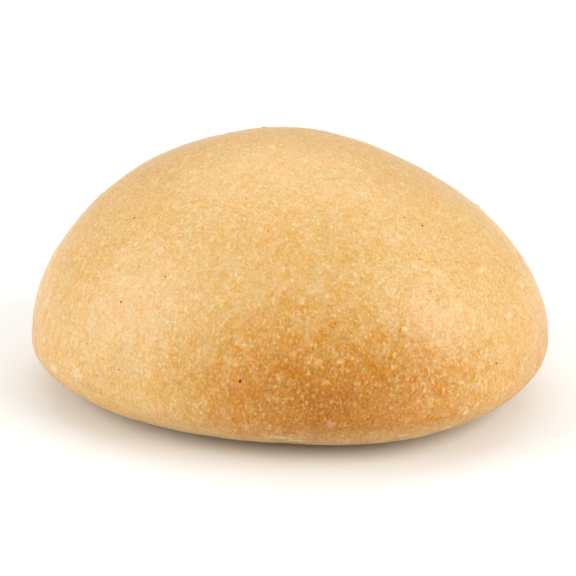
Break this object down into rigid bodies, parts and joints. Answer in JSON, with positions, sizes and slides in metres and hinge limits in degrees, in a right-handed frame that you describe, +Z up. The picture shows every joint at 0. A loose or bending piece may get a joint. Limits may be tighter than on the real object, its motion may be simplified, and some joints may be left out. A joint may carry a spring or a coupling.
{
  "type": "bread roll",
  "caption": "Soft oval bread roll with a smooth domed pale-gold crust, a low belly that tucks in underneath and a flat base to rest on.",
  "frame": {"origin": "middle of the roll's base, in the plane that it rests on", "axes": "+X along the roll's length towards its right end, -Y towards the front, +Z up"},
  "size_m": [0.1, 0.081, 0.05],
  "materials": {
    "baked_crust": "soft semi-gloss baked wheat crust, pale gold, browner low on the front"
  },
  "bodies": {
    "root": {"bread_roll": "baked_crust"}
  },
  "joints": []
}
